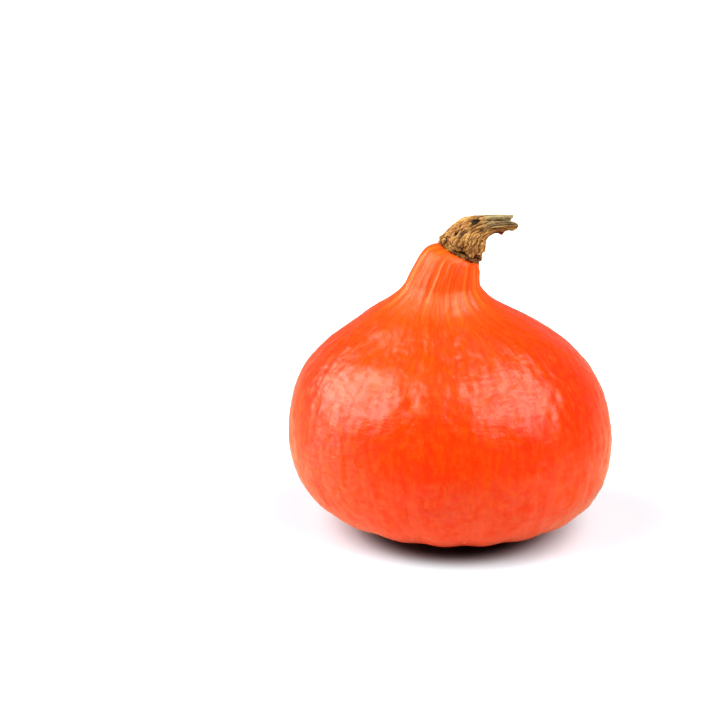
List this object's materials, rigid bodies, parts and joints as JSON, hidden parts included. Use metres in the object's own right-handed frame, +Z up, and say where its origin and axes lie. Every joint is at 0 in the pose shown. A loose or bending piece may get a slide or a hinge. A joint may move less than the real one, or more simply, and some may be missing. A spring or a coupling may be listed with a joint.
{
  "type": "kabocha squash",
  "caption": "Whole onion-shaped winter squash of the red kuri kind, with a smooth orange-red skin, a pleated neck and a dried, hooked, corky stem.",
  "frame": {"origin": "on the surface that the squash stands on, below the middle of its belly", "axes": "+Z up, +X to the side that the stem hooks over to, and -Y to the viewer of the picture"},
  "size_m": [0.1678, 0.1662, 0.1638],
  "materials": {
    "skin": "satin",
    "cork": "matte"
  },
  "bodies": {
    "root": {"fruit": "skin", "stem": "cork"}
  },
  "joints": []
}
